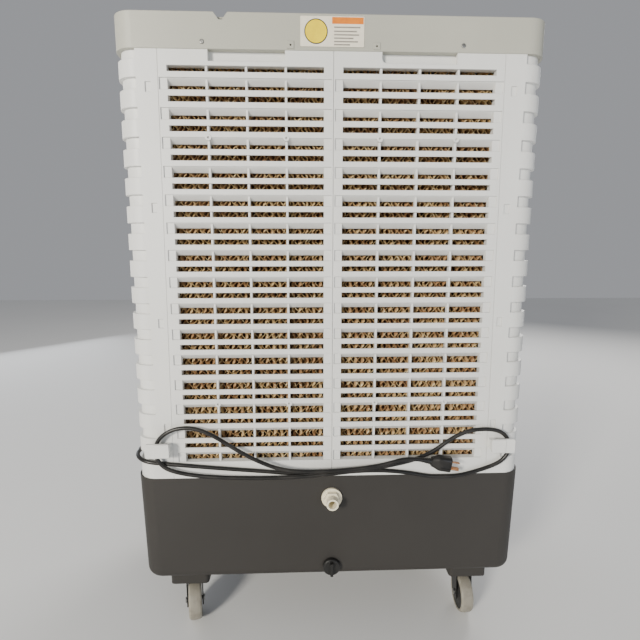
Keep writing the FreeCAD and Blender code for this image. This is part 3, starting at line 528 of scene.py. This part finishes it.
model = pan_head()
screws = []
back_low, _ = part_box("top_cap")
_, panel_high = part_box("control_panel")
screw_low, screw_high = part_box("body_screws")
PANEL_SCREW_X, PANEL_SCREW_Z, CAP_SCREW_X, CAP_SCREW_Z = 0.210, (1.067, 1.133), 0.230, 1.180
seats = [(x, screw_low.y + 2 * MM, CAP_SCREW_Z, 1) for x in (-CAP_SCREW_X, CAP_SCREW_X)]
seats += [(x, screw_high.y - 2 * MM, z, -1) for x in (-PANEL_SCREW_X, PANEL_SCREW_X) for z in PANEL_SCREW_Z]
for x, y, z, facing in seats:
    turn = Matrix.Rotation(facing * math.pi / 2, 4, "X") @ Matrix.Rotation(draw.uniform(0, 1.5), 4, "Z")
    clone = copy_of(model, (0, 0, 0))
    clone.data.transform(Matrix.Translation((x, y, z)) @ turn)
    screws.append(clone)
bpy.data.objects.remove(model)
screws = join(screws, "pan_head_screws")
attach(screws, "cabinet")
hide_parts("body_screws")
print("screws", len(seats), "span", [round(side, 3) for side in screws.dimensions])


# %% [markdown]
# ## The information plate
# A thin plate with rounded corners sits on the cap. Real ones carry printed words; this one has plain
# shapes only: a coloured band, a round spot and grey bars in place of lines. Each shape is a slip of its
# own laid on the plate, so that it stays a clean shape in any renderer.

# %% Build the plate from thin slips
def slip(name, left, right, low, high, y, thick, corner):
    """A flat slip that faces -Y, with rounded corners."""
    piece = start_piece(name, bpy.ops.mesh.primitive_cube_add, size=1,
                        location=((left + right) / 2, y - thick / 2, (low + high) / 2))
    piece.scale = (right - left, thick, high - low)
    bpy.ops.object.transform_apply(location=True, rotation=True, scale=True)
    if corner:
        pick(piece, "EDGE", lambda edge: edge_span(piece, edge, 1) > thick / 2)
        bpy.ops.mesh.bevel(offset=corner, segments=3, affect="EDGES")
    return settle(piece, smooth=60)


def disc(name, x, z, radius, y, thick):
    """A thin round slip that faces -Y."""
    piece = start_piece(name, bpy.ops.mesh.primitive_cylinder_add, vertices=48, radius=radius, depth=thick,
                        location=(x, y - thick / 2, z), rotation=(math.pi / 2, 0, 0))
    bpy.ops.object.transform_apply(location=True, rotation=True, scale=True)
    return settle(piece, smooth=60)


FOIL = 0.25 * MM
plate_y = back_low.y
face = plate_y - 0.45 * MM
MARK_X, MARK_Z = -0.0315, 1.1990      # the middle of the round spot
plate_parts = {
    "white": [slip("plate_white", -0.059, 0.053, 1.1745, 1.2235, plate_y + 0.05 * MM, 0.5 * MM, 2 * MM)],
    "orange": [slip("band", -0.0035, 0.0515, 1.2115, 1.2222, face, FOIL, 0)],
    "black": [disc("rim", MARK_X, MARK_Z, 20.5 * MM, face, FOIL)],
    "yellow": [disc("mark", MARK_X, MARK_Z, 18.8 * MM, face - FOIL + 0.05 * MM, FOIL)],
}
bars = [(1.2060, 0.046), (1.1995, 0.040), (1.1940, 0.044), (1.1885, 0.034), (1.1830, 0.042), (1.1780, 0.028)]
BAR_HALF = 1.1 * MM
plate_parts["grey"] = [slip("bar", 0, length, z - BAR_HALF, z + BAR_HALF, face, FOIL, 0)
                       for z, length in bars]
plate_pieces = {}
for colour, parts in plate_parts.items():
    piece = join(parts, "plate_" + colour)
    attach(piece, "cabinet")
    "shell_white" if colour == "white" else "black_plastic"
    plate_pieces[colour] = piece
print("plate slips", len(plate_pieces))


# %% [markdown]
# ## Dials on the front
# Each knob on the front panel has a ring of raised ticks round it and a pale line on its grip. One tick is
# modelled and copied round the knob; the panel's ticks ride with the cabinet and the line with its knob.

# %% Ticks and pointer lines
KNOBS = {"knob_speed": 270, "knob_cool": 90, "knob_swing": 90}
ticks = []
for knob, travel in KNOBS.items():
    low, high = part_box(knob)
    x, z = (low.x + high.x) / 2, (low.z + high.z) / 2
    reach = (high.x - low.x) / 2
    tick = slip("tick", -0.6 * MM, 0.6 * MM, reach + 4 * MM, reach + 10 * MM, 0, 0.5 * MM, 0)
    tick.data.transform(Matrix.Rotation(math.pi, 4, "Z"))
    for step in range(travel // 45 + 1):
        turned = copy_of(tick, (0, 0, 0))
        turned.data.transform(Matrix.Translation((x, panel_high.y - 0.05 * MM, z))
                              @ Matrix.Rotation(-math.radians(step * 45), 4, "Y"))
        ticks.append(turned)
    bpy.data.objects.remove(tick)
    line = slip(knob + "_line", -0.9 * MM, 0.9 * MM, 6 * MM, reach - 5 * MM, 0, 0.5 * MM, 0.4 * MM)
    line.data.transform(Matrix.Translation((x, high.y - 0.1 * MM, z)) @ Matrix.Rotation(math.pi, 4, "Z"))
    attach(line, knob)
dial = join(ticks, "dial_ticks")
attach(dial, "cabinet")
print("ticks", len(ticks))


# %% [markdown]
# ## Moulded plastics
# Sun and water leave their mark on white plastic: it yellows in soft patches, and dust settles low down and
# in the corners. The moulding itself has a fine spark-eroded grain, about a millimetre across, that breaks up
# the highlights. Sharp edges are shaded round, as a mould leaves them. One function makes every such
# plastic, and its arguments say how coarse, dusty and glossy this one is.

# %% Moulded plastic
DUST_TONE = (0.42, 0.38, 0.32)


def moulded(name, light, dark, rough=0.45, grain=1100, depth=0.05 * MM, dust=0.0, edge=1.2 * MM):
    finish = Finish(name, IOR=1.47)
    patches = finish.noise(2.3, detail=5).steps(0.35, 0.68)
    tone = finish.blend(patches, dark, light)
    if dust:
        streaks = finish.noise(1, detail=6, place=finish.stretched(38, 38, 2.2)).steps(0.42, 0.75)
        low_down = 1 - finish.axis("Z").steps(0.10, 0.75)
        specks = finish.noise(420, detail=2).steps(0.62, 0.75)
        soiled = streaks * 0.5 + low_down * 0.35 + specks * 0.3
        tone = finish.blend(soiled * dust, tone, DUST_TONE)
    finish.drive(Base_Color=tone)
    finish.drive(Roughness=rough - 0.05 + finish.noise(14, detail=4) * 0.12)
    height = finish.noise(grain, detail=2) + finish.noise(26, detail=1) * 0.8
    finish.drive(Normal=finish.bump(height, 0.35, depth, finish.soft_edges(edge)))
    return finish


shell = moulded("shell_white", (0.80, 0.80, 0.78), (0.73, 0.73, 0.705), rough=0.42, dust=0.10, edge=1.6 * MM)
cap = moulded("cap_grey", (0.47, 0.465, 0.40), (0.41, 0.405, 0.345), rough=0.44, dust=0.08, edge=1.6 * MM)
tank = moulded("tank_grey", (0.030, 0.0270, 0.0240), (0.0245, 0.0220, 0.0195), rough=0.58, grain=620,
               depth=0.16 * MM, edge=1.6 * MM)
panel = moulded("panel_dark", (0.06, 0.06, 0.062), (0.045, 0.045, 0.047), rough=0.4, grain=800,
                depth=0.1 * MM)
inner = moulded("inner_plastic", (0.46, 0.465, 0.47), (0.38, 0.385, 0.39), rough=0.5, dust=0.4)
blades = moulded("fan_plastic", (0.12, 0.13, 0.14), (0.09, 0.10, 0.11), rough=0.38, dust=0.35)
ivory = moulded("ivory_plastic", (0.90, 0.84, 0.66), (0.80, 0.73, 0.55), rough=0.33, grain=500,
                depth=0.04 * MM, edge=0.8 * MM)
white_part = moulded("white_part", (0.80, 0.80, 0.78), (0.74, 0.73, 0.70), rough=0.4, edge=0.6 * MM)
black_part = moulded("black_part", (0.013, 0.0125, 0.012), (0.009, 0.009, 0.0085), rough=0.38, edge=0.8 * MM)

paint(shell, "side_shell_left", "side_shell_right", "front_frame", "rear_grille_left", "rear_grille_right",
      "cord_hooks")
paint(cap, "top_cap")
paint(tank, "water_tank")
paint(panel, "control_panel")
paint(inner, "fan_shroud", "water_trough")
paint(blades, "fan_rotor")
paint(ivory, "inlet_spigot", "float_valve")
paint(white_part, "float_arm")
print("moulded finishes", len(bpy.data.materials))
paint(black_part, "pump", "rotary_switches", "knob_speed", "knob_cool", "knob_swing", "drain_plug",
      *[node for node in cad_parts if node.startswith("caster_fork")])
paint(tank, "caster_brackets")
paint(cap, "fill_door", *[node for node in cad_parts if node[:7] == "louvre_" and node[7].isdigit()])
paint(blades, "louvre_link", "vane_link",
      *[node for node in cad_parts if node[:5] == "vane_" and node[5].isdigit()])


# %% [markdown]
# ## Cellulose paper
# The pad's paper is soaked in resin: gold-brown where light strikes its edges, and darkened to dark brown
# down in the flutes by painted shade.
# Its colour therefore follows depth behind the face as well as a blotchy noise, and pale yellow painted
# highlights lie in patches on the outermost edges. Paper is rough and fibrous, so there is no gloss.

# %% Paper with painted shade that deepens with depth, and painted edge highlights
paper = Finish("cellulose_paper", Specular_IOR_Level=0.2)
pad_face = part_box("pad_left")[0].y
sunk = (paper.axis("Y") - pad_face).steps(0.0, 17 * MM)
fibre = paper.noise(160, detail=6, roughness=0.65)
bright = paper.blend(paper.noise(34, detail=4).steps(0.35, 0.65), (0.36, 0.20, 0.09), (0.62, 0.44, 0.21))
# Painted highlight: pale yellow patches on the outermost paper edges, fading with depth.
painted_highlight = (fibre - sunk * 0.6).steps(0.50, 0.66)
edge_tone = paper.blend(painted_highlight * 0.85, bright, (0.98, 0.84, 0.50))
# Painted shade: the paper's colour darkens towards dark brown with depth behind the face.
paper.drive(Base_Color=paper.blend(sunk ** 0.8, edge_tone, (0.20, 0.105, 0.062)))
paper.drive(Roughness=0.78 + fibre * 0.15)
paper.drive(Normal=paper.bump(fibre, 0.6, 0.5 * MM))
coat(paper, bpy.data.objects["cooling_pad_left"], bpy.data.objects["cooling_pad_right"])


# %% [markdown]
# ## Rubber, metal and clear plastic
# A mains lead's sheath is satin, with faint waves from its cores and a bloom of dust that dulls it in
# places. Zinc plating is cloudy, and motor paint has a fine orange peel. Transmission is the same all over
# a clear part, so it is set on the socket itself.

# %% Sheath, zinc, paint, brass and clear parts
sheath = Finish("pvc_sheath", IOR=1.45, Coat_Weight=0.08, Coat_Roughness=0.3)
bloom = sheath.noise(22, detail=5).steps(0.42, 0.72)
sheath.drive(Base_Color=sheath.blend(bloom, (0.006, 0.0055, 0.005), (0.020, 0.0175, 0.0155)))
sheath.drive(Roughness=0.34 + bloom * 0.2)
waves = sheath.noise(130, detail=3) + sheath.noise(1500, detail=1) * 0.3
sheath.drive(Normal=sheath.bump(waves, 0.25, 0.3 * MM))

zinc = Finish("zinc_plate", Metallic=1.0)
cloud = zinc.noise(90, detail=6, roughness=0.6)
zinc.drive(Base_Color=zinc.blend(cloud.steps(0.35, 0.7), (0.26, 0.26, 0.25), (0.44, 0.44, 0.42)))
zinc.drive(Roughness=0.26 + cloud * 0.22)
zinc.drive(Normal=zinc.bump(zinc.noise(1, detail=2, place=zinc.stretched(260, 2400, 2400)), 0.2, 0.05 * MM))

motor_paint = Finish("motor_paint", Coat_Weight=0.3, Coat_Roughness=0.25)
peel = motor_paint.noise(380, detail=2)
motor_paint.drive(Base_Color=motor_paint.blend(
    motor_paint.noise(30, detail=5).steps(0.45, 0.7), (0.10, 0.10, 0.105), (0.17, 0.165, 0.16)))
motor_paint.drive(Roughness=0.36 + peel * 0.15)
motor_paint.drive(Normal=motor_paint.bump(peel, 0.3, 0.12 * MM, motor_paint.soft_edges(0.8 * MM)))


def pin_metal(name, light, dark):
    finish = Finish(name, Metallic=1.0)
    tarnish = finish.noise(240, detail=5).steps(0.40, 0.72)
    finish.drive(Base_Color=finish.blend(tarnish, light, dark), Roughness=0.22 + tarnish * 0.25)
    finish.drive(Normal=finish.bump(finish.noise(1, place=finish.stretched(300, 3000, 3000)), 0.2, 0.04 * MM))
    return finish


pin_brass = pin_metal("pin_brass", (0.62, 0.32, 0.15), (0.36, 0.17, 0.09))

clear = Finish("clear_plastic", IOR=1.49, Transmission_Weight=0.75)
smear = clear.noise(40, detail=5).steps(0.45, 0.75)
clear.drive(Base_Color=clear.blend(smear, (0.80, 0.86, 0.88), (0.66, 0.70, 0.68)))
clear.drive(Roughness=0.08 + smear * 0.25)
clear.drive(Normal=clear.bump(clear.noise(60, detail=2), 0.15, 0.2 * MM))

hose = Finish("hose_vinyl", IOR=1.45, Transmission_Weight=0.35)
scale = hose.noise(70, detail=5).steps(0.4, 0.7)
hose.drive(Base_Color=hose.blend(scale, (0.66, 0.70, 0.68), (0.55, 0.52, 0.42)), Roughness=0.25 + scale * 0.3)
hose.drive(Normal=hose.bump(hose.noise(1, place=hose.stretched(800, 800, 60)), 0.2, 0.2 * MM))

paint(zinc, "motor_bracket", "fan_shaft",
      *[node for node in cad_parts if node.startswith("caster_axle")])
paint(motor_paint, "fan_motor", "swing_motor")
paint(pin_brass, "plug_pins")
paint(clear, "level_window")
paint(hose, "supply_hose")
paint(sheath, "cord_gland")
coat(sheath, cord, relief, plug)
coat(zinc, screws)


# %% [markdown]
# ## Caster wheels
# A wheel is a pale rubber tread on a black centre. Both belong to one moulding, so the finish tells them
# apart by distance from the wheel's axle: the cross product of a point's offset and the axle's direction
# has that distance as its length. Each wheel stands elsewhere, so each gets the finish with its own centre.

# %% Tread and centre by distance from the axle
CASTER_HEADINGS = {"rear_left": 13}   # degrees that a caster stands turned; the others stand straight


def wheel_finish(corner):
    low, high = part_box("caster_wheel_" + corner)
    middle = (low + high) / 2
    heading = math.radians(CASTER_HEADINGS.get(corner, 0))
    finish = Finish("wheel_" + corner, Specular_IOR_Level=0.35)
    offset = finish.node("ShaderNodeVectorMath", {"operation": "SUBTRACT"},
                         {0: finish.place, 1: tuple(middle)})
    axle = (math.cos(heading), math.sin(heading), 0)
    crossed = finish.node("ShaderNodeVectorMath", {"operation": "CROSS_PRODUCT"}, {0: offset, 1: axle})
    reach = finish.node("ShaderNodeVectorMath", {"operation": "LENGTH"}, {0: crossed}, output="Value")
    radius = middle.z
    tread = reach.steps(radius - 7.8 * MM, radius - 7.2 * MM)
    dirt = finish.noise(75, detail=6).steps(0.40, 0.70)
    worn = reach.steps(radius - 1.8 * MM, radius - 0.5 * MM)
    grey = finish.blend(dirt, (0.32, 0.30, 0.245), (0.24, 0.22, 0.18))
    grey = finish.blend(worn * 0.5, grey, (0.21, 0.19, 0.155))
    black = finish.blend(dirt, (0.020, 0.020, 0.020), (0.045, 0.042, 0.038))
    finish.drive(Base_Color=finish.blend(tread, black, grey), Roughness=0.45 + dirt * 0.3)
    finish.drive(Normal=finish.bump(finish.noise(520, detail=2), 0.3, 0.08 * MM, finish.soft_edges(0.8 * MM)))
    return finish


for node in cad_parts:
    if node.startswith("caster_wheel_"):
        paint(wheel_finish(node[len("caster_wheel_"):]), node)


# %% [markdown]
# ## Print and ticks
# Print on a plate is flat ink under a satin film. It still is not one even colour: ink fades unevenly, so
# each takes a little mottling.

# %% Inks
def ink(name, light, dark, rough=0.35):
    finish = Finish(name, Coat_Weight=0.2, Coat_Roughness=0.2)
    fade = finish.noise(60, detail=5)
    finish.drive(Base_Color=finish.blend(fade.steps(0.35, 0.7), light, dark), Roughness=rough + fade * 0.1)
    finish.drive(Normal=finish.bump(finish.noise(900, detail=1), 0.1, 0.03 * MM))
    return finish


inks = {
    "white": ink("ink_white", (0.86, 0.80, 0.66), (0.80, 0.74, 0.60)),
    "orange": ink("ink_orange", (0.78, 0.22, 0.01), (0.68, 0.17, 0.01)),
    "yellow": ink("ink_yellow", (0.90, 0.68, 0.01), (0.82, 0.60, 0.01)),
    "black": ink("ink_black", (0.015, 0.015, 0.014), (0.03, 0.03, 0.028)),
    "grey": ink("ink_grey", (0.22, 0.20, 0.17), (0.32, 0.30, 0.26)),
}
for colour, piece in plate_pieces.items():
    coat(inks[colour], piece)
coat(inks["white"], dial, *[bpy.data.objects[knob + "_line"] for knob in KNOBS])


# %% [markdown]
# ## Floor and light
# The floor is plain and pale. A lamp behind the camera, on the left and a little above the lid, gives the
# grille's ribs a shadow side, and a weaker cool one on the right fills it. Two more light the front, and a
# dim sky keeps the undersides from going black.

# %% Floor, lamps and sky
floor = start_piece("floor", bpy.ops.mesh.primitive_plane_add, size=12, location=(0, 0, 0))
ground = Finish("floor", Roughness=0.7)
ground.drive(Base_Color=ground.blend(ground.noise(1.5, detail=3), (0.80, 0.80, 0.79), (0.76, 0.76, 0.75)))
coat(ground, floor)


def lamp(name, place, target, power, size, colour):
    data = bpy.data.lights.new(name, "AREA")
    data.energy, data.size, data.color = power, size, colour
    light = bpy.data.objects.new(name, data)
    bpy.context.collection.objects.link(light)
    light.location = place
    light.rotation_euler = (Vector(target) - Vector(place)).to_track_quat("-Z", "Y").to_euler()


lamp("key", (-2.7, -4.2, 1.9), (0.1, 0, 0.7), 300, 0.9, (1.0, 0.955, 0.86))
lamp("fill", (1.8, -2.8, 0.5), (0.1, 0, 0.4), 24, 1.8, (0.80, 0.88, 1.0))
lamp("front_key", (1.8, 2.8, 2.3), (0, 0, 0.6), 75, 1.8, (1.0, 0.98, 0.95))
lamp("front_fill", (-2.4, 2.2, 1.2), (0, 0, 0.6), 25, 2.2, (0.92, 0.95, 1.0))
world = bpy.context.scene.world or bpy.data.worlds.new("World")
bpy.context.scene.world = world
world.use_nodes = True
sky = world.node_tree.nodes["Background"]
sky.inputs["Color"].default_value = (0.93, 0.95, 1.0, 1.0)
sky.inputs["Strength"].default_value = 0.36
